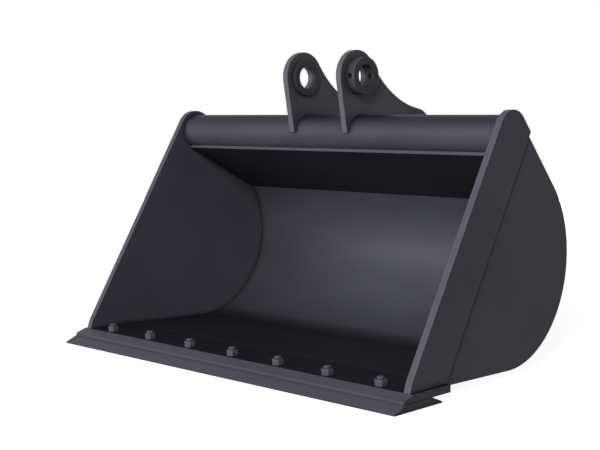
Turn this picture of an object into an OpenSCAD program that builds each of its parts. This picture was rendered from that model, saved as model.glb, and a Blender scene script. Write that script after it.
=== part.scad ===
// Ditch cleaning bucket for a small excavator: a wide, shallow welded bucket with a bolted blade.
// Millimetres. X runs across the bucket, Y from the open mouth to the back, Z up.
// The origin is the middle of the dipper pin's axis, between the two ears.
// Profiles are drawn in the side view, as [back, up], and pushed across the bucket.

/* [Width] */
// Width over the side strips, at the mouth
mouth_w = 800; // [600:10:1200]
// How far each side leans inwards towards the back, in degrees, so that soil drops out
side_taper = 1.5; // [0:0.25:3]

/* [Pin positions] */
// Link pin's distance behind the dipper pin
link_back = 165; // [150:5:180]
// Link pin's distance below the dipper pin
link_drop = 102; // [90:2:110]
// Diameter of both pin bores
pin_d = 40; // [30:1:46]
// Free gap between the ears, for the dipper's nose
ear_gap = 112; // [90:2:160]

/* [Ears] */
// Thickness of each ear plate
ear_t = 12; // [8:1:20]
// Radius of each ear round a pin
ear_r = 46; // [42:1:52]
// Radius of the hollow in the ear's top edge, between the pins
saddle_r = 200; // [160:10:300]
// How far the ear's foot stands in front of the torque tube
foot_proud = 6; // [3:1:12]
// Where the ear's rear edge meets the shell, in degrees round the heel from level
ear_tail_deg = 25; // [15:1:35]
// Outside diameter of the pads and collars round the pins
boss_d = 66; // [60:1:80]
// Thickness of the pads inside the left ear
pad_t = 7; // [4:1:12]
// Length of the collars outside the right ear
collar_len = 20; // [14:1:40]
// Diameter of the hole through each collar for the pin's keeper bolt
keeper_d = 10; // [6:1:12]

/* [Torque tube] */
// Outside diameter of the tube across the top
tube_d = 64; // [56:1:70]
// Wall of the tube
tube_wall = 6; // [4:0.5:10]
// Tube's centre, behind the dipper pin
tube_back = 9; // [0:1:15]
// Tube's centre, below the dipper pin
tube_drop = 100; // [94:1:106]

/* [Shell] */
// Plate thickness of the rolled shell
shell_t = 6; // [4:0.5:10]
// Inside radius of the rolled heel
heel_r = 170; // [150:1:180]
// Centre of the heel's radius, behind the dipper pin
heel_back = 17.5; // [5:0.5:30]
// Centre of the heel's radius, below the dipper pin
heel_drop = 310.5; // [300:0.5:314]
// Thickness of the box plate that closes the space behind the tube
box_plate_t = 6; // [4:0.5:10]
// Slope of the box plate down to the back, in degrees
box_plate_slope = 27; // [22:1:32]

/* [Sides] */
// Thickness of each side plate
side_t = 6; // [4:0.5:10]
// Thickness of the strip welded outside the front of each side plate
strip_t = 6; // [4:0.5:12]
// Radius of the round top of the side plates and strips, about the tube's centre
cap_r = 40; // [39:0.5:48]
// Length of the strip's straight rear shoulder, below its round top
shoulder_len = 32; // [20:1:50]
// Width of the strip's foot along the lip
strip_foot = 91; // [70:1:91]
// Height of the short steep toe at the foot of the strip
toe_h = 15; // [10:1:25]
// How far the toe leans back over that height
toe_run = 5; // [2:0.5:8]

/* [Lip plate] */
// How far each end of the lip plate stands out past the side strips
lip_past = 6; // [0:0.5:20]
// Depth of the lip plate from front to back
lip_depth = 112; // [106:1:140]
// Thickness of the lip plate
lip_t = 12; // [10:1:20]
// Top of the lip plate, below the dipper pin
lip_drop = 475; // [470:1:480]
// Front face of the lip plate, ahead of the dipper pin
lip_ahead = 280; // [270:1:290]
// Depth of the bevel along the lip's top front edge
lip_bevel_run = 21; // [15:1:28]
// Height of the flat front face left under that bevel
lip_nose_h = 5; // [3:0.5:9]

/* [Blade] */
// How far each end of the blade stands out past the lip plate
blade_past = 1.5; // [0:0.5:5]
// Width of the blade from edge to edge
blade_depth = 112; // [100:1:150]
// Thickness of the blade
blade_t = 12; // [8:1:16]
// Width of the ground bevel along both of the blade's edges
blade_bevel_run = 22.5; // [12:0.5:30]
// Height left at the blade's two edges
blade_nose_h = 1; // [0.5:0.5:4]

/* [Blade bolts] */
// Number of bolts that hold the blade
bolt_n = 7; // [5:1:9]
// From the outside of each side strip to the middle of the nearest bolt
bolt_in = 67; // [50:1:90]
// Thread diameter of the bolts
bolt_d = 12; // [8:1:16]
// Diameter of the countersunk heads
bolt_head_d = 25; // [20:1:32]
// Depth of the countersunk heads' cone
bolt_head_h = 6; // [4:0.5:8]
// Thickness of the flat rim above the cone, flush with the ground face
bolt_rim_h = 1; // [0.5:0.5:3]
// Width of the square neck beyond the cone
bolt_neck_w = 12.5; // [8.5:0.5:17]
// Height of the square neck
bolt_neck_h = 4; // [2:0.5:4]
// Nut width across its flats
nut_af = 19; // [16:1:26]
// Nut height
nut_h = 11; // [8:0.5:16]
// Share of a nut's width that stays flat on its end faces, inside the bevelled corners
nut_face_share = 0.94; // [0.85:0.01:0.98]
// Thread left above the nut
bolt_end = 4; // [2:0.5:8]
// Bevel at the thread's end
bolt_tip = 1; // [0.5:0.25:1.5]

/* [Fits] */
// Room round each bolt and its neck in their holes, on each side
hole_clear = 0.75; // [0.3:0.05:1.5]
// Room between thread and nut, on the radius
thread_clear = 0.05; // [0.02:0.01:0.2]

/* [Hidden] */

// Cuts run past the solid that they cut by this much
over = 2;
// Rounds run on inside the straight stretches that they touch, by this many degrees
lap_deg = 8;
// Straight stretches lie this much inside the rounds that they touch, so that the two cross
inset = 0.02;
// Sides of each nut
nut_sides = 6;
// Slope of the bevel at the nuts' corners, in degrees
nut_bevel_deg = 30;

PAINT = "#3a3a3e";
EDGE_PAINT = "#4a4a50";
FASTENER_PAINT = "#55555b";

tube_r = tube_d / 2;
boss_r = boss_d / 2;
link_pin = [link_back, -link_drop];
dipper_pin = [0, 0];
tube_c = [tube_back, -tube_drop];
heel_c = [heel_back, -heel_drop];
heel_out_r = heel_r + shell_t;

function along(a) = [cos(a), sin(a)];
function span(p, q) = norm(q - p);
function angle_of(v) = atan2(v[1], v[0]);

// The shell's straight back lies on the tube and runs on into the heel, tangent to both
back_deg = angle_of(heel_c - tube_c) + acos((tube_r - heel_r) / span(tube_c, heel_c));
back_out = along(back_deg);
back_down = along(back_deg - 90);
back_top = tube_c + (tube_r - inset) * back_out;
back_end = heel_c + (heel_r - inset) * back_out;

// The shell's floor starts flush with the lip's top and runs back, tangent to the heel
lip_front = -lip_ahead;
lip_rear = lip_front + lip_depth;
lip_top = -lip_drop;
lip_under = lip_top - lip_t;
floor_start = [lip_rear, lip_top];
floor_deg = angle_of(heel_c - floor_start) - asin(heel_r / span(floor_start, heel_c));
floor_out = along(floor_deg - 90);
floor_end = heel_c + (heel_r - inset) * floor_out;
floor_under = [lip_rear, lip_top - shell_t / cos(floor_deg)];

// Side plates stand on the lip, with their front edge from a toe to the round top
toe = [lip_front + lip_bevel_run, lip_top];
kink = toe + [toe_run, toe_h];
front_deg = angle_of(tube_c - kink) + asin(cap_r / span(kink, tube_c));
front_top = tube_c + (cap_r - inset) * along(front_deg + 90);
shoulder_top = tube_c + (cap_r - inset) * back_out;
shoulder_end = shoulder_top + shoulder_len * back_down;
// How far the round top stands out from the shell's outer face
proud = cap_r - tube_r - shell_t;

// Inside half width at the toe, from which both sides lean in
inner_half = mouth_w / 2 - side_t - strip_t;

// The lip, the blade and the row of bolts follow the bucket's width
lip_w = mouth_w + 2 * lip_past;
blade_w = lip_w + 2 * blade_past;
bolt_pitch = (mouth_w - 2 * bolt_in) / (bolt_n - 1);
blade_under = lip_under - blade_t;
bolt_y = lip_front + blade_depth / 2 - blade_bevel_run;

ear_faces = [-ear_gap / 2 - pad_t, ear_gap / 2];
collar_x = ear_faces[1] + ear_t;

// Longer than anything in the side view, for trimming
far = 2 * (lip_drop + heel_out_r);

// Pushes each side view outline across the bucket, from x over a length
module across(x, length) {
    for (k = [0:$children - 1])
        translate([x, 0, 0])
            rotate([90, 0, 90])
                linear_extrude(length)
                    children(k);
}

// Pushes each side view outline across, wider than the bucket, to be trimmed between the sides
module full_across() {
    for (k = [0:$children - 1])
        across(-mouth_w, 2 * mouth_w)
            children(k);
}

// A slice of a disc in the side view, lapped past the two angles where straight stretches touch it
module pie(centre, r, from_deg, to_deg) {
    start = from_deg - lap_deg;
    steps = 3;
    step = (to_deg + lap_deg - start) / steps;
    translate(centre)
        intersection() {
            circle(r = r, $fn = 180);
            polygon(concat([[0, 0]], [for (k = [0:steps]) 2 * r * along(start + k * step)]));
        }
}

// The space between the inner faces of the two sides
module between_sides() {
    lean = tan(side_taper);
    front_half = inner_half + (far + toe[0]) * lean;
    back_half = inner_half - (far - toe[0]) * lean;
    translate([0, 0, -far])
        linear_extrude(2 * far)
            polygon([[-front_half, -far], [front_half, -far], [back_half, far], [-back_half, far]]);
}

// Puts its children on the right-hand side, leaning with the taper, off outside the inner face
module on_side(off) {
    translate([inner_half, toe[0], 0])
        rotate([0, 0, side_taper])
            translate([off, -toe[0], 0])
                children();
}

// Everything in front of a face that lies grow outside the shell's inner face
module shell_room(grow) {
    full_across() {
        polygon([
            tube_c, back_top + grow * back_out, back_end + grow * back_out,
            floor_end + grow * floor_out, floor_start + grow * floor_out, [lip_front, lip_top]
        ]);
        pie(heel_c, heel_r + grow, floor_deg - 90, back_deg);
    }
}

module torque_tube() {
    color(EDGE_PAINT)
        intersection() {
            full_across()
                translate(tube_c)
                    difference() {
                        circle(r = tube_r, $fn = 96);
                        circle(r = tube_r - tube_wall, $fn = 96);
                    }
            between_sides();
        }
}

// Floor, rolled heel and straight back, in one plate from the lip's rear face to the tube
module wrapper_shell() {
    color(PAINT)
        difference() {
            intersection() {
                full_across() {
                    polygon([
                        tube_c, back_top + shell_t * back_out, back_end + shell_t * back_out,
                        floor_end + shell_t * floor_out, floor_under, floor_start
                    ]);
                    pie(heel_c, heel_out_r, floor_deg - 90, back_deg);
                }
                between_sides();
            }
            shell_room(0);
            full_across()
                translate(tube_c)
                    circle(r = tube_r, $fn = 96);
        }
}

// Runs from the tube's underside down to the shell, and makes a closed box with them
module box_plate() {
    fall = along(-box_plate_slope);
    down = along(-box_plate_slope - 90);
    touch = tube_c + tube_r * down;
    color(PAINT)
        intersection() {
            full_across()
                polygon([
                    touch, touch + far * fall,
                    touch + far * fall + box_plate_t * down, touch + box_plate_t * down
                ]);
            shell_room(0);
            between_sides();
        }
}

module right_side_plate() {
    color(PAINT)
        on_side(0)
            across(0, side_t) {
                polygon([
                    toe, kink, front_top, shoulder_top, shoulder_end,
                    shoulder_end - proud * back_out, back_end + shell_t * back_out,
                    floor_end + shell_t * floor_out, floor_under, floor_start
                ]);
                pie(tube_c, cap_r, back_deg, front_deg + 90);
                pie(heel_c, heel_out_r, floor_deg - 90, back_deg);
            }
}

module left_side_plate() {
    mirror([1, 0, 0])
        right_side_plate();
}

module right_side_strip() {
    color(PAINT)
        on_side(side_t)
            across(0, strip_t) {
                polygon([toe, kink, front_top, shoulder_top, shoulder_end, toe + [strip_foot, 0]]);
                pie(tube_c, cap_r, back_deg, front_deg + 90);
            }
}

module left_side_strip() {
    mirror([1, 0, 0])
        right_side_strip();
}

// Runs its children at each bolt, on the blade's middle line
module at_bolts() {
    for (k = [0:bolt_n - 1])
        translate([(k - (bolt_n - 1) / 2) * bolt_pitch, bolt_y, 0])
            children();
}

module lip_plate() {
    color(EDGE_PAINT)
        difference() {
            across(-lip_w / 2, lip_w)
                polygon([
                    [lip_front, lip_under], [lip_rear, lip_under], [lip_rear, lip_top],
                    toe, [lip_front, lip_under + lip_nose_h]
                ]);
            at_bolts()
                translate([0, 0, lip_under - over])
                    cylinder(d = bolt_d + 2 * hole_clear, h = lip_t + 2 * over, $fn = 48);
        }
}

// Square holes through the blade, opened by a cone for the bolt heads
module blade_holes() {
    hole_w = bolt_neck_w + 2 * hole_clear;
    flare = (bolt_head_d - bolt_d) / 2 / bolt_head_h;
    cone_top = blade_under + bolt_rim_h + bolt_head_h;
    cone_base_r = bolt_d / 2 + (bolt_head_h + bolt_rim_h + over) * flare;
    at_bolts() {
        translate([0, 0, blade_under - over])
            cylinder(r1 = cone_base_r, r2 = bolt_d / 2, h = cone_top - blade_under + over, $fn = 64);
        translate([-hole_w / 2, -hole_w / 2, blade_under - over])
            cube([hole_w, hole_w, blade_t + 2 * over]);
    }
}

// Turned end for end when one edge is worn
module reversible_blade() {
    front = bolt_y - blade_depth / 2;
    rear = bolt_y + blade_depth / 2;
    color(EDGE_PAINT)
        difference() {
            across(-blade_w / 2, blade_w)
                polygon([
                    [front, blade_under], [rear, blade_under], [rear, blade_under + blade_nose_h],
                    [rear - blade_bevel_run, lip_under], [front + blade_bevel_run, lip_under],
                    [front, blade_under + blade_nose_h]
                ]);
            blade_holes();
        }
}

// Countersunk bolts with a square neck, put in from below
module blade_bolts() {
    head_r = bolt_head_d / 2;
    shank_r = bolt_d / 2;
    neck_base = bolt_rim_h + bolt_head_h;
    total = blade_t + lip_t + nut_h + bolt_end;
    color(FASTENER_PAINT)
        at_bolts()
            translate([0, 0, blade_under]) {
                rotate_extrude($fn = 64)
                    polygon([
                        [0, 0], [head_r, 0], [head_r, bolt_rim_h], [shank_r, neck_base],
                        [shank_r, total - bolt_tip], [shank_r - bolt_tip, total], [0, total]
                    ]);
                translate([-bolt_neck_w / 2, -bolt_neck_w / 2, neck_base])
                    cube([bolt_neck_w, bolt_neck_w, bolt_neck_h]);
            }
}

// A corner of each nut points at the mouth
module blade_nuts() {
    half_side_deg = 180 / nut_sides;
    corner_r = nut_af / 2 / cos(half_side_deg);
    face_r = nut_face_share * nut_af / 2;
    bevel_h = (corner_r - face_r) * tan(nut_bevel_deg);
    color(FASTENER_PAINT)
        at_bolts()
            translate([0, 0, lip_top])
                difference() {
                    intersection() {
                        rotate([0, 0, half_side_deg])
                            cylinder(r = corner_r, h = nut_h, $fn = nut_sides);
                        rotate_extrude($fn = 64)
                            polygon([
                                [0, 0], [face_r, 0], [corner_r, bevel_h],
                                [corner_r, nut_h - bevel_h], [face_r, nut_h], [0, nut_h]
                            ]);
                    }
                    translate([0, 0, -over])
                        cylinder(d = bolt_d + 2 * thread_clear, h = nut_h + 2 * over, $fn = 48);
                }
}

// The ear's front edge runs up from its foot on the tube, tangent to the round head
foot_root = [tube_back - tube_r, -tube_drop];
foot_tip = foot_root - [foot_proud, 0];
head_touch = (ear_r - inset) * along(angle_of(-foot_tip) + asin(ear_r / norm(foot_tip)) + 90);
// Its rear edge runs up from the shell, tangent to the round tail
tail_foot = heel_c + heel_out_r * along(ear_tail_deg);
tail_lean = angle_of(link_pin - tail_foot) - asin(ear_r / span(tail_foot, link_pin));
tail_touch = link_pin + (ear_r - inset) * along(tail_lean - 90);
// The hollow between the pins is a circle that touches both rounds from above
saddle_rise = sqrt(pow(ear_r + saddle_r - inset, 2) - pow(norm(link_pin) / 2, 2));
saddle_c = link_pin / 2 + saddle_rise * along(angle_of(link_pin) + 90);

// One ear plate, with its left face at x, notched over the tube and the shell
module ear(x) {
    color(PAINT)
        difference() {
            across(x, ear_t) {
                polygon([
                    dipper_pin, head_touch, foot_tip, foot_root, tube_c,
                    heel_c, tail_foot, tail_touch, link_pin
                ]);
                difference() {
                    polygon([dipper_pin, saddle_c, link_pin, tube_c]);
                    translate(saddle_c)
                        circle(r = saddle_r, $fn = 180);
                }
                circle(r = ear_r, $fn = 96);
                translate(link_pin)
                    circle(r = ear_r, $fn = 96);
            }
            across(x - over, ear_t + 2 * over) {
                translate(tube_c)
                    circle(r = tube_r, $fn = 96);
                circle(d = pin_d, $fn = 96);
                translate(link_pin)
                    circle(d = pin_d, $fn = 96);
            }
            shell_room(shell_t);
        }
}

module left_ear() {
    ear(ear_faces[0] - ear_t);
}

module right_ear() {
    ear(ear_faces[1]);
}

// A ring round a pin, from x over a length
module ring(pin, x, length) {
    color(PAINT)
        across(x, length)
            translate(pin)
                difference() {
                    circle(d = boss_d, $fn = 96);
                    circle(d = pin_d, $fn = 96);
                }
}

// A collar outside the right ear, with a keeper hole through both of its walls
module collar(pin) {
    difference() {
        ring(pin, collar_x, collar_len);
        translate([collar_x + collar_len / 2, pin[0] - boss_r - over, pin[1]])
            rotate([-90, 0, 0])
                cylinder(d = keeper_d, h = boss_d + 2 * over, $fn = 48);
    }
}

module left_dipper_pad() {
    ring(dipper_pin, ear_faces[0], pad_t);
}

module left_link_pad() {
    ring(link_pin, ear_faces[0], pad_t);
}

module right_dipper_collar() {
    collar(dipper_pin);
}

module right_link_collar() {
    collar(link_pin);
}

torque_tube();
wrapper_shell();
box_plate();
left_side_plate();
right_side_plate();
left_side_strip();
right_side_strip();
lip_plate();
reversible_blade();
blade_bolts();
blade_nuts();
left_ear();
right_ear();
left_dipper_pad();
right_dipper_collar();
left_link_pad();
right_link_collar();
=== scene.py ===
from math import cos, hypot, radians, sin

import bmesh
import bpy
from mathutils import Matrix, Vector


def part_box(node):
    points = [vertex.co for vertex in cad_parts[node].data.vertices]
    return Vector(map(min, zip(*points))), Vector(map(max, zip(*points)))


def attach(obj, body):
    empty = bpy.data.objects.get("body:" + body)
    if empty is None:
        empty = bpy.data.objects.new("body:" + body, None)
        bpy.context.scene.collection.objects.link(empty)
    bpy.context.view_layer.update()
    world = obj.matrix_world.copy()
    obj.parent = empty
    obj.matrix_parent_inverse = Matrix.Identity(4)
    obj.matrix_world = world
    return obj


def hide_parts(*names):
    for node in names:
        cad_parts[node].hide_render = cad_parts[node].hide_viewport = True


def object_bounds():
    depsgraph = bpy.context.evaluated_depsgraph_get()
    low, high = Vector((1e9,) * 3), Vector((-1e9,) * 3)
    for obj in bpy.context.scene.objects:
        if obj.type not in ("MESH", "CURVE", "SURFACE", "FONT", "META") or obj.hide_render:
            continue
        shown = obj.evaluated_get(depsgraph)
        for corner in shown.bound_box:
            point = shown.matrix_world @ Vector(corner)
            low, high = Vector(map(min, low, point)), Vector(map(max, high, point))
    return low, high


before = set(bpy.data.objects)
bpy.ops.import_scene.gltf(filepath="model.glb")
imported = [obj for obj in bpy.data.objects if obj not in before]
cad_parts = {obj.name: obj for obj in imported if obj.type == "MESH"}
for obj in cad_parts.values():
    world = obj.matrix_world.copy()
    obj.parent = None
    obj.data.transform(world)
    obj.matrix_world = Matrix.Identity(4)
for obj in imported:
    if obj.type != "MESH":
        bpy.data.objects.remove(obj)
cad_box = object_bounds()


# Torque tube. A drawn steel tube across the top, welded between the two sides, that carries
# the ears. The whole bucket is sprayed in one satin anthracite enamel after welding, so what
# shows on every piece is paint, and each kind of steel below it gives that paint its own look.
def linear(colour):
    """An sRGB hex colour as linear red, green, blue and alpha"""
    parts = [int(colour[k:k + 2], 16) / 255 for k in (1, 3, 5)]
    return [p / 12.92 if p <= 0.04045 else ((p + 0.055) / 1.055) ** 2.4 for p in parts] + [1]


def add(material, kind, inputs={}, **settings):
    """Adds one node with its settings, and links each input to a socket or fills it in"""
    node = material.node_tree.nodes.new(kind)
    for name, value in settings.items():
        setattr(node, name, value)
    for key, value in inputs.items():
        if isinstance(value, bpy.types.NodeSocket):
            material.node_tree.links.new(value, node.inputs[key])
        else:
            node.inputs[key].default_value = value
    return node


# Near-black that paints shade into inner corners and recesses
PAINTED_CORNER_SHADE = "#101012"


def enamel(name, dark, light, rough, pebble_mm, pebble_deep_mm, cloud_mm, stretch=(1, 1, 1),
           grain=(1, 1, 1), corner_shade_mm=14, glint=0.15):
    """Satin enamel from a spray gun.

    dark and light are the two ends of its cloudy tone, rough is its roughness and glint its
    specular level. A pebble's width and height, a cloud's width and how far the painted shade
    reaches out of an inner corner are in millimetres. stretch and grain draw the clouds and
    the pebbles out along an axis, where they are under 1.
    """
    paint = bpy.data.materials.new(name)
    paint.use_nodes = True
    shader = paint.node_tree.nodes["Principled BSDF"]
    shader.inputs["Specular IOR Level"].default_value = glint
    link = paint.node_tree.links.new
    place = add(paint, "ShaderNodeTexCoord").outputs["Object"]

    # The coat's thickness wanders as the gun passes to and fro, in soft clouds a little darker
    # and lighter. The noise seldom leaves its middle, so the ramp takes both tones from there.
    drawn = add(paint, "ShaderNodeMapping", {"Vector": place, "Scale": stretch}).outputs["Vector"]
    clouds = add(paint, "ShaderNodeTexNoise", {
        "Vector": drawn, "Scale": 1000 / cloud_mm, "Detail": 4, "Roughness": 0.6}).outputs["Fac"]
    tint = add(paint, "ShaderNodeValToRGB", {"Fac": clouds})
    for stop, place_on, colour in zip(tint.color_ramp.elements, (0.32, 0.68), (dark, light)):
        stop.position = place_on
        stop.color = linear(colour)
    shine = add(paint, "ShaderNodeMapRange", {
        "Value": clouds, "From Min": 0.3, "From Max": 0.7,
        "To Min": rough - 0.035, "To Max": rough + 0.035})
    link(shine.outputs["Result"], shader.inputs["Roughness"])

    # Pebbles are droplets that dried before they ran flat. Real ones are about 1 mm wide, too
    # fine for this render, so every enamel here draws them 2.5 to 6 mm wide to let them show.
    along = add(paint, "ShaderNodeMapping", {"Vector": place, "Scale": grain}).outputs["Vector"]
    pebbles = add(paint, "ShaderNodeTexNoise", {
        "Vector": along, "Scale": 1000 / pebble_mm, "Detail": 1.5}).outputs["Fac"]
    lift = add(paint, "ShaderNodeBump", {
        "Height": pebbles, "Strength": 1, "Distance": pebble_deep_mm / 1000})
    link(lift.outputs["Normal"], shader.inputs["Normal"])

    # Painted shade: the colour goes towards near-black in inner corners and recesses, the more so
    # the more is hidden close by
    open_side = add(paint, "ShaderNodeAmbientOcclusion", {"Distance": corner_shade_mm / 1000}, samples=8)
    unshaded_share = add(paint, "ShaderNodeMapRange", {
        "Value": open_side.outputs["AO"], "From Min": 0.3, "From Max": 0.95, "To Min": 0.25})
    coat = add(paint, "ShaderNodeMix", {
        0: unshaded_share.outputs["Result"], "A": linear(PAINTED_CORNER_SHADE), "B": tint.outputs["Color"]},
        data_type="RGBA")
    link(coat.outputs[2], shader.inputs["Base Color"])
    return paint


# Used to paint light or shade on faces by the way they are turned
def tone_faces(paint, axis, begins, full, colour, most, either_way=False):
    """Takes an enamel towards another tone on the faces whose normal lies along an axis.

    The tone sets in where that part of the normal is begins, and has its share, most, at full.
    """
    shader = paint.node_tree.nodes["Principled BSDF"]
    plain = shader.inputs["Base Color"].links[0].from_socket
    facing = add(paint, "ShaderNodeNewGeometry").outputs["Normal"]
    lies = add(paint, "ShaderNodeSeparateXYZ", {"Vector": facing}).outputs[axis]
    if either_way:
        lies = add(paint, "ShaderNodeMath", {0: lies}, operation="ABSOLUTE").outputs["Value"]
    share = add(paint, "ShaderNodeMapRange", {
        "Value": lies, "From Min": begins, "From Max": full, "To Max": most})
    toned = add(paint, "ShaderNodeMix", {
        0: share.outputs["Result"], "A": plain, "B": linear(colour)}, data_type="RGBA")
    paint.node_tree.links.new(toned.outputs[2], shader.inputs["Base Color"])


def broken_edges(node, name, edge_mm, from_angle=30):
    """The node's own shape, its triangles merged to whole faces, its edges from an angle broken"""
    bpy.ops.object.select_all(action="DESELECT")
    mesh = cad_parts[node].data.copy()
    piece = bpy.data.objects.new(name, mesh)
    bpy.context.scene.collection.objects.link(piece)
    piece.select_set(True)
    bpy.context.view_layer.objects.active = piece
    bpy.ops.object.mode_set(mode="EDIT")
    bpy.ops.mesh.select_all(action="SELECT")
    bpy.ops.mesh.customdata_custom_splitnormals_clear()
    bpy.ops.mesh.remove_doubles(threshold=1e-5)
    bpy.ops.mesh.dissolve_limited(angle_limit=radians(0.3))
    bpy.ops.object.mode_set(mode="OBJECT")
    edge = piece.modifiers.new("edge", "BEVEL")
    edge.width = edge_mm / 1000
    edge.segments = 3
    edge.angle_limit = radians(from_angle)
    edge.use_clamp_overlap = False
    edge.harden_normals = True
    bpy.ops.object.shade_smooth_by_angle(angle=radians(from_angle))
    bpy.ops.object.modifier_apply(modifier="edge")
    return piece


def dress(piece, node, material):
    """Puts a piece on the body in place of its plain node, in one material"""
    piece.data.materials.clear()
    piece.data.materials.append(material)
    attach(piece, "root")
    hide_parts(node)


# Enamel over cold-drawn tube. The drawing leaves it straight and smooth, so the clouds run
# along it and the eye gets one unbroken line of light. Its upward-facing faces are toned
# nearly black, painted shade along the top.
# The near-black tone that paints shade on faces which the lamps hardly reach
PAINTED_SHADE_DARK = "#0e0e10"
tube_enamel = enamel("satin_enamel_on_drawn_tube", "#40404a", "#494952",
                     0.45, 5, 0.05, 60, (0.25, 1, 1), glint=0.06)
tone_faces(tube_enamel, "Z", 0.3, 0.9, PAINTED_SHADE_DARK, 0.8)
tube = broken_edges("torque_tube", "painted_tube", 0.4)
dress(tube, "torque_tube", tube_enamel)


# Wrapper shell and box plate. One sheet of 6 mm steel plate, pressed flat for the floor and
# rolled round the heel, and a second sheet welded in between it and the tube, which closes
# a box behind the tube.

# Enamel over rolled plate. The rolls lay across the bucket, so the clouds are long that way
# too, and the heel catches one broad soft band of light. The floor's upward-facing faces are
# toned nearly black, painted shade.
ANTHRACITE_DARK = "#3c3c43"
ANTHRACITE_LIGHT = "#44444c"
shell_enamel = enamel("satin_enamel_on_rolled_plate", ANTHRACITE_DARK, ANTHRACITE_LIGHT,
                      0.44, 6, 0.06, 170, (0.35, 1, 1))
tone_faces(shell_enamel, "Z", 0.93, 0.998, PAINTED_SHADE_DARK, 0.92)
shell = broken_edges("wrapper_shell", "painted_shell", 0.6)
dress(shell, "wrapper_shell", shell_enamel)

# Enamel over flat plate, its tones set far darker than the anthracite elsewhere: painted
# shade for the box plate's underside below the tube. Only the faces turned to the front, the
# plate's front edge, are toned lighter, painted light that shows as a thin line below the tube.
# The light tone that paints light on edges and faces turned to the lamps
PAINTED_LIT_EDGE = "#5f5f68"
roof_enamel = enamel("painted_shade_enamel_on_box_plate", "#18181c", "#1f1f24", 0.5, 6, 0.06, 170)
tone_faces(roof_enamel, "Y", -0.7, -0.95, PAINTED_LIT_EDGE, 0.8)
roof = broken_edges("box_plate", "painted_box_plate", 0.4)
dress(roof, "box_plate", roof_enamel)


# Side plates and the strips outside their front edges. Profile-cut 6 mm steel plate, welded
# along the shell's ends, and doubled at the front where the ground wears it.

# Enamel over flat plate. Mill-flat steel takes an even coat, so the faces are plain and dull
# with wide faint clouds. The cut edges, ground round, are toned lighter, painted light on the
# faces that are not turned sideways.
side_enamel = enamel("satin_enamel_on_flat_plate", "#404048", "#484851",
                     0.46, 6, 0.06, 230, corner_shade_mm=10, glint=0.06)
tone_faces(side_enamel, "X", 0.6, 0.2, PAINTED_LIT_EDGE, 0.6, either_way=True)
for side in ("left", "right"):
    for part in ("side_plate", "side_strip"):
        node = side + "_" + part
        dress(broken_edges(node, "painted_" + node, 0.25, 12), node, side_enamel)


# Lip plate and reversible blade. Wear-resistant steel flat, planed to a bevel along the
# edges. The lip is welded to the shell's floor, and the blade is bolted on below it, so that
# it can be turned when one edge is worn.
def start(piece, kind="FACE"):
    """Goes into edit mode on one piece, with nothing selected"""
    bpy.ops.object.select_all(action="DESELECT")
    piece.select_set(True)
    bpy.context.view_layer.objects.active = piece
    bpy.ops.object.mode_set(mode="EDIT")
    bpy.ops.mesh.select_mode(type=kind)
    bpy.ops.mesh.select_all(action="DESELECT")


def pick(piece, kind, test):
    """Selects only those faces, edges or verts of the piece in edit mode that pass a test"""
    cage = bmesh.from_edit_mesh(piece.data)
    bpy.ops.mesh.select_all(action="DESELECT")
    for item in getattr(cage, kind):
        if test(item):
            item.select_set(True)
    bmesh.update_edit_mesh(piece.data)


# Enamel over planed wear-resistant steel. The planer leaves fine lines along the bar, which
# the paint half fills, so the bevels look faintly brushed lengthwise. Real lines are about
# 0.3 mm apart, and they are drawn 3 mm apart to show at all. Its tones are set lighter than
# the anthracite elsewhere, painted light for the bevels that face the lamps. The top is toned
# as dark as the floor that it runs into and the sawn end turned to the right darker, both
# painted shade.
blade_enamel = enamel("satin_enamel_on_planed_wear_steel", "#4a4a52", "#54545d",
                      0.42, 3, 0.04, 90, (0.2, 1, 1), (0.03, 1, 1), glint=0.03)
tone_faces(blade_enamel, "Z", 0.97, 0.995, PAINTED_SHADE_DARK, 0.88)
tone_faces(blade_enamel, "X", 0.6, 0.95, PAINTED_SHADE_DARK, 0.3)

# The planed bevels lie at 18 and 26 degrees, so edges count as sharp from 14
PLANED = 14
lip = broken_edges("lip_plate", "painted_lip", 0.35, PLANED)
dress(lip, "lip_plate", blade_enamel)

# The blade's two noses are a little blunted, so the upper corners of each go up
NOSE_UP = 0.0015
NOSE_DEEP = 0.002
blade = broken_edges("reversible_blade", "painted_blade", 0.3, PLANED)
blade_low, blade_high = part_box("reversible_blade")
start(blade, "VERT")
pick(blade, "verts", lambda v: v.co.z > blade_low.z + 0.0005 and (
    v.co.y < blade_low.y + NOSE_DEEP or v.co.y > blade_high.y - NOSE_DEEP))
bpy.ops.transform.translate(value=(0, 0, NOSE_UP))
bpy.ops.object.mode_set(mode="OBJECT")
dress(blade, "reversible_blade", blade_enamel)


# Blade bolts. M12 plough bolts in steel, forged with a flat countersunk head and a square
# neck, pushed up from below. The head lies flush in the blade and the rolled thread shows
# above the nut.
def settle(piece, name):
    """Leaves edit mode, puts the piece's place into its mesh, and names it"""
    bpy.ops.object.mode_set(mode="OBJECT")
    bpy.ops.object.transform_apply(location=True, rotation=True, scale=True)
    piece.name = name
    piece.data.name = name
    return piece


def cut(piece, tool, how):
    """Joins, cuts or trims the piece by another one, which is then thrown away"""
    bpy.ops.object.select_all(action="DESELECT")
    piece.select_set(True)
    bpy.context.view_layer.objects.active = piece
    trim = piece.modifiers.new("trim", "BOOLEAN")
    trim.operation = how
    trim.solver = "EXACT"
    trim.object = tool
    bpy.ops.object.modifier_apply(modifier="trim")
    bpy.data.objects.remove(tool)


def dress_row(first, name, node, material):
    """Copies the first fastener along the blade, each with its own mesh, and dresses the row"""
    row = [first]
    for k in range(1, BOLTS):
        one = bpy.data.objects.new("%s_%d" % (name, k + 1), first.data.copy())
        bpy.context.scene.collection.objects.link(one)
        for vertex in one.data.vertices:
            vertex.co.x += k * pitch
        row.append(one)
    for one in row:
        dress(one, node, material)


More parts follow.
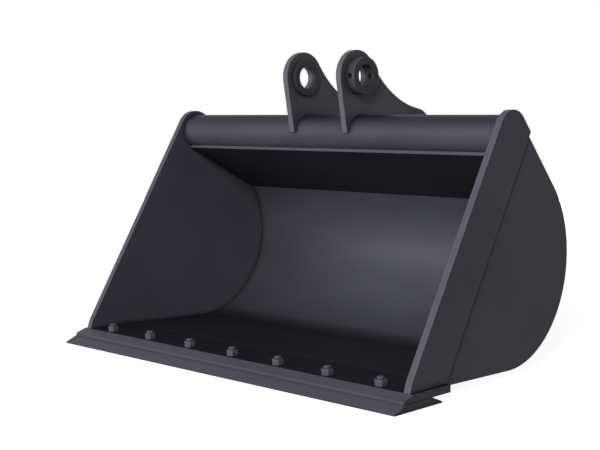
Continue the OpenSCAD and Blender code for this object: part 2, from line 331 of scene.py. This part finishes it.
BOLTS = 7
HEAD = 0.0125
SHANK = 0.006
THREADS = 10
THREAD_PITCH = 0.00175
ROOT, FIRST_ROOT = 0.0052, 0.0204
CREST, FIRST_CREST = 0.00595, 0.02128
NECK_WIDE, NECK_TALL, NECK_MIDDLE = 0.0125, 0.0044, 0.0088
bolt_low, bolt_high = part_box("blade_bolts")
bolt_y = (bolt_low.y + bolt_high.y) / 2
first_x = bolt_low.x + HEAD
pitch = (bolt_high.x - bolt_low.x - 2 * HEAD) / (BOLTS - 1)

# Each step up the bolt is a radius and a height above the head's face: rim, cone and shank,
# then the thread as roots and crests, and the bevelled end
steps = [(0.0121, 0), (HEAD, 0.0004), (HEAD, 0.001), (SHANK, 0.007), (SHANK, 0.0195)]
for turn in range(THREADS):
    steps += [(ROOT, FIRST_ROOT + turn * THREAD_PITCH), (CREST, FIRST_CREST + turn * THREAD_PITCH)]
steps += [(0.0056, 0.0384), (0.005, bolt_high.z - bolt_low.z)]
bpy.ops.mesh.primitive_circle_add(vertices=40, radius=steps[0][0], fill_type="NGON",
                                  location=(first_x, bolt_y, bolt_low.z))
bolt = bpy.context.object
bpy.ops.object.transform_apply(location=True, rotation=True, scale=True)
start(bolt)
bpy.ops.mesh.select_all(action="SELECT")
for (before, below), (radius, height) in zip(steps, steps[1:]):
    bpy.ops.mesh.extrude_region_move(
        TRANSFORM_OT_translate={"value": (0, 0, height - below)})
    bpy.ops.transform.resize(value=(radius / before, radius / before, 1),
                             center_override=(first_x, bolt_y, 0))
bpy.ops.mesh.select_all(action="SELECT")
bpy.ops.mesh.normals_make_consistent(inside=False)
settle(bolt, "blade_bolt_1")

# The square neck, its four upright edges a little rounded, grows out of the cone
bpy.ops.mesh.primitive_cube_add(size=1, location=(first_x, bolt_y, bolt_low.z + NECK_MIDDLE))
neck = bpy.context.object
neck.scale = (NECK_WIDE, NECK_WIDE, NECK_TALL)
bpy.ops.object.transform_apply(location=True, rotation=True, scale=True)
start(neck, "EDGE")
pick(neck, "edges", lambda e: abs((e.verts[0].co - e.verts[1].co).z) > NECK_TALL / 2)
bpy.ops.mesh.bevel(offset=0.0006, segments=2)
settle(neck, "neck")
cut(bolt, neck, "UNION")
bpy.ops.object.shade_smooth_by_angle(angle=radians(38))

# Enamel over zinc-plated fasteners. Forged and plated steel is smooth and the paint flows out
# on such small parts, so they are the smoothest and shiniest spots on the bucket. Their tones
# are set lighter than the anthracite elsewhere, painted light on their small facets.
plated_enamel = enamel("satin_enamel_on_plated_fasteners", "#4a4a54", "#585862",
                       0.38, 2.5, 0.02, 18)
dress_row(bolt, "blade_bolt", "blade_bolts", plated_enamel)


# Blade nuts. M12 hexagon nuts in plated steel, cold-formed, with their corners turned off at
# 30 degrees on both faces and a countersunk thread. They are tightened on the lip's top, and
# come to rest with a corner roughly towards the mouth.
FLATS = 0.018
ROUND_FACE = 0.94
RISE_AT_30 = 0.577
TURNED_BY = -8
THREAD_BORE = 0.0066
nut_low, nut_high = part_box("blade_nuts")
corner = FLATS / 2 / cos(radians(30))
face = ROUND_FACE * FLATS / 2
turned_off = (corner - face) * RISE_AT_30
nut_tall = nut_high.z - nut_low.z
nut_middle = (first_x, bolt_y, (nut_low.z + nut_high.z) / 2)
bpy.ops.mesh.primitive_cylinder_add(vertices=6, radius=corner, depth=nut_tall,
                                    location=nut_middle, rotation=(0, 0, radians(TURNED_BY)))
nut = bpy.context.object

# A round blank with both rims bevelled, which trims the hexagon's corners
bpy.ops.mesh.primitive_cylinder_add(vertices=60, radius=corner + 1e-5, depth=nut_tall,
                                    location=nut_middle)
turning = bpy.context.object
start(turning)
pick(turning, "faces", lambda f: abs(f.normal.z) > 0.9)
bpy.ops.mesh.inset(thickness=corner - face)
for end in (1, -1):
    bpy.ops.mesh.select_mode(type="VERT")
    pick(turning, "verts", lambda v: v.co.z * end > 0 and hypot(v.co.x, v.co.y) > corner - 1e-4)
    bpy.ops.transform.translate(value=(0, 0, -end * turned_off))
bpy.ops.object.mode_set(mode="OBJECT")
cut(nut, turning, "INTERSECT")
start(nut)
pick(nut, "faces", lambda f: abs(f.normal.z) > 0.99)
bpy.ops.mesh.inset(thickness=face - THREAD_BORE)
bpy.ops.mesh.bridge_edge_loops()
settle(nut, "blade_nut_1")
edge = nut.modifiers.new("edge", "BEVEL")
edge.width = 0.0003
edge.segments = 2
edge.angle_limit = radians(28)
edge.harden_normals = True
bpy.ops.object.shade_smooth_by_angle(angle=radians(25))
bpy.ops.object.modifier_apply(modifier="edge")
dress_row(nut, "blade_nut", "blade_nuts", plated_enamel)


# Ears. Two 12 mm steel plates that the pins go through, flame cut to shape, notched over the
# tube and the shell's back, and welded down. The cut edge is ground, so its corners are broken
# further than the others.

# Enamel over flame-cut plate. The faces are mill-flat, dull and slightly cloudy. The cutting
# drag lines are ground away, and the edge faces are toned lighter, painted light that outlines
# each ear.
ear_enamel = enamel("satin_enamel_on_flame_cut_plate", "#404048", "#48484f",
                    0.45, 5, 0.05, 70, corner_shade_mm=25)
tone_faces(ear_enamel, "X", 0.6, 0.2, PAINTED_LIT_EDGE, 0.6, either_way=True)
for node in ("left_ear", "right_ear"):
    dress(broken_edges(node, "painted_" + node, 0.9), node, ear_enamel)


# Pads and collars round the pins. Turned steel rings: flat pads inside the left ear, and
# collars outside the right one, drilled across for the bolt that keeps the pin from turning.
def turned_ring(node, keeper_r):
    """A bored ring that fills its node's box, its rims broken, drilled across if keeper_r"""
    low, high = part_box(node)
    middle = (low + high) / 2
    outer_r = (high.z - low.z) / 2
    bpy.ops.mesh.primitive_cylinder_add(vertices=128, radius=outer_r, depth=high.x - low.x,
                                        location=middle, rotation=(0, radians(90), 0))
    ring = bpy.context.object
    bpy.ops.object.transform_apply(location=True, rotation=True, scale=True)
    start(ring)
    pick(ring, "faces", lambda f: abs(f.normal.x) > 0.9)
    bpy.ops.mesh.inset(thickness=outer_r - PIN_BORE)
    bpy.ops.mesh.bridge_edge_loops()
    bpy.ops.mesh.select_mode(type="EDGE")
    pick(ring, "edges", lambda e: len(e.link_faces) == 2 and e.calc_face_angle() > radians(60))
    bpy.ops.mesh.bevel(offset=RING_EDGE, segments=3)
    settle(ring, "turned_" + node)
    if keeper_r:
        bpy.ops.mesh.primitive_cylinder_add(vertices=48, radius=keeper_r, depth=3 * outer_r,
                                            location=middle, rotation=(radians(90), 0, 0))
        cut(ring, bpy.context.object, "DIFFERENCE")
    bpy.ops.object.shade_smooth_by_angle(angle=radians(30))
    return ring


# Enamel over turned steel. The lathe leaves a tight, fine surface, so the coat is smooth and
# the round of each ring shades evenly. The colour darkens inside the bores, painted shade, and
# the rings' end faces turned to the right are toned darker.
PIN_BORE = 0.02
RING_EDGE = 0.0006
KEEPER = 0.005
boss_enamel = enamel("satin_enamel_on_turned_steel", ANTHRACITE_DARK, ANTHRACITE_LIGHT,
                     0.42, 4, 0.03, 45, corner_shade_mm=40, glint=0.07)
tone_faces(boss_enamel, "X", 0.8, 0.99, PAINTED_SHADE_DARK, 0.2)
for pin in ("dipper", "link"):
    for node, keeper_r in (("left_%s_pad" % pin, 0), ("right_%s_collar" % pin, KEEPER)):
        dress(turned_ring(node, keeper_r), node, boss_enamel)


# Studio. A floor of pale paper and a backdrop that the camera sees as white, lit by wide soft
# boxes in front, a smaller one higher up on the right, and two behind the bucket.
def seen(holder):
    """1 for the rays that show a background itself, in the camera, in a reflection or in glass"""
    rays = add(holder, "ShaderNodeLightPath").outputs
    both = add(holder, "ShaderNodeMath", {0: rays["Is Camera Ray"], 1: rays["Is Glossy Ray"]})
    return add(holder, "ShaderNodeMath", {
        0: both.outputs["Value"], 1: rays["Is Transmission Ray"]},
        use_clamp=True).outputs["Value"]


# Just below the blade, so that the two never share a plane
bpy.ops.mesh.primitive_plane_add(size=60, location=(0, 0, cad_box[0].z - 0.0002))
floor = bpy.context.object
floor.name = "studio_floor"

# Matt background paper, rolled and uncoated, so it has no shine and shows only the bucket's
# soft shadow. The white that it shows is dimmed round the bucket, painted shade that fades to
# full white 2.5 m out.
floor_paper = bpy.data.materials.new("matt_paper_floor")
floor_paper.use_nodes = True
paper = floor_paper.node_tree.nodes["Principled BSDF"]
paper.inputs["Base Color"].default_value = linear("#a0a0a0")
paper.inputs["Roughness"].default_value = 1
paper.inputs["Specular IOR Level"].default_value = 0
near = add(floor_paper, "ShaderNodeVectorMath", {
    0: add(floor_paper, "ShaderNodeTexCoord").outputs["Object"]}, operation="LENGTH")
# Painted shade: the floor's white is lowered within 2.5 m of the bucket
pale = add(floor_paper, "ShaderNodeMapRange", {
    "Value": near.outputs["Value"], "From Min": 0.7, "From Max": 2.5, "To Min": 0.92})
level = add(floor_paper, "ShaderNodeMath", {
    0: seen(floor_paper), 1: pale.outputs["Result"]}, operation="MULTIPLY")
white = add(floor_paper, "ShaderNodeEmission", {"Strength": level.outputs["Value"]})
both = add(floor_paper, "ShaderNodeAddShader", {
    0: paper.outputs["BSDF"], 1: white.outputs["Emission"]})
floor_paper.node_tree.links.new(
    both.outputs["Shader"], floor_paper.node_tree.nodes["Material Output"].inputs["Surface"])
floor.data.materials.append(floor_paper)

# White to the eye and in reflections, but it lights the bucket hardly at all, so that the
# inside of the box and the corners stay dark
backdrop = bpy.data.worlds.new("white_backdrop")
bpy.context.scene.world = backdrop
backdrop.use_nodes = True
level = add(backdrop, "ShaderNodeMapRange", {
    "Value": seen(backdrop), "To Min": 0.01, "To Max": 1})
air = backdrop.node_tree.nodes["Background"]
air.inputs["Color"].default_value = (1, 1, 1, 1)
backdrop.node_tree.links.new(level.outputs["Result"], air.inputs["Strength"])

# Each box's angle round from the front, its height angle, width, height, distance and power
SOFTBOXES = {
    "front_left": (-25, 4, 3.5, 1.3, 4, 106), "front_right": (25, 4, 3.5, 1.3, 4, 58),
    "high_right": (35, 28, 0.9, 0.9, 4, 78), "behind": (200, 0, 3, 1, 4, 75),
    "behind_left": (-120, 0, 3, 1, 4, 75)}
BUCKET_MIDDLE = Vector((0, 0, -0.25))
for name, (azimuth, elevation, wide, tall, distance, power) in SOFTBOXES.items():
    lamp = bpy.data.lights.new(name, "AREA")
    lamp.shape = "RECTANGLE"
    lamp.size = wide
    lamp.size_y = tall
    lamp.energy = power
    box = bpy.data.objects.new(name, lamp)
    bpy.context.scene.collection.objects.link(box)
    turn, rise = radians(azimuth), radians(elevation)
    towards = Vector((sin(turn) * cos(rise), -cos(turn) * cos(rise), sin(rise)))
    box.location = BUCKET_MIDDLE + towards * distance
    box.rotation_euler = towards.to_track_quat("Z", "Y").to_euler()

# The camera stands 2.2 m off, in front and to the right, about level with the tube, and looks
# 7 degrees down with a small shift, as in the photograph
lens = bpy.data.cameras.new("lens")
lens.sensor_width = 36
lens.lens = 70.63
lens.shift_x = -0.05
lens.shift_y = 0.05
camera = bpy.data.objects.new("camera", lens)
bpy.context.scene.collection.objects.link(camera)
camera.location = (1.4675, -1.5748, -0.0645)
camera.rotation_euler = (radians(90 - 6.888), 0, radians(43.002))
camera.rotation_euler.rotate_axis("Z", radians(-0.137))
bpy.context.scene.camera = camera
bpy.context.scene.view_settings.view_transform = "Standard"
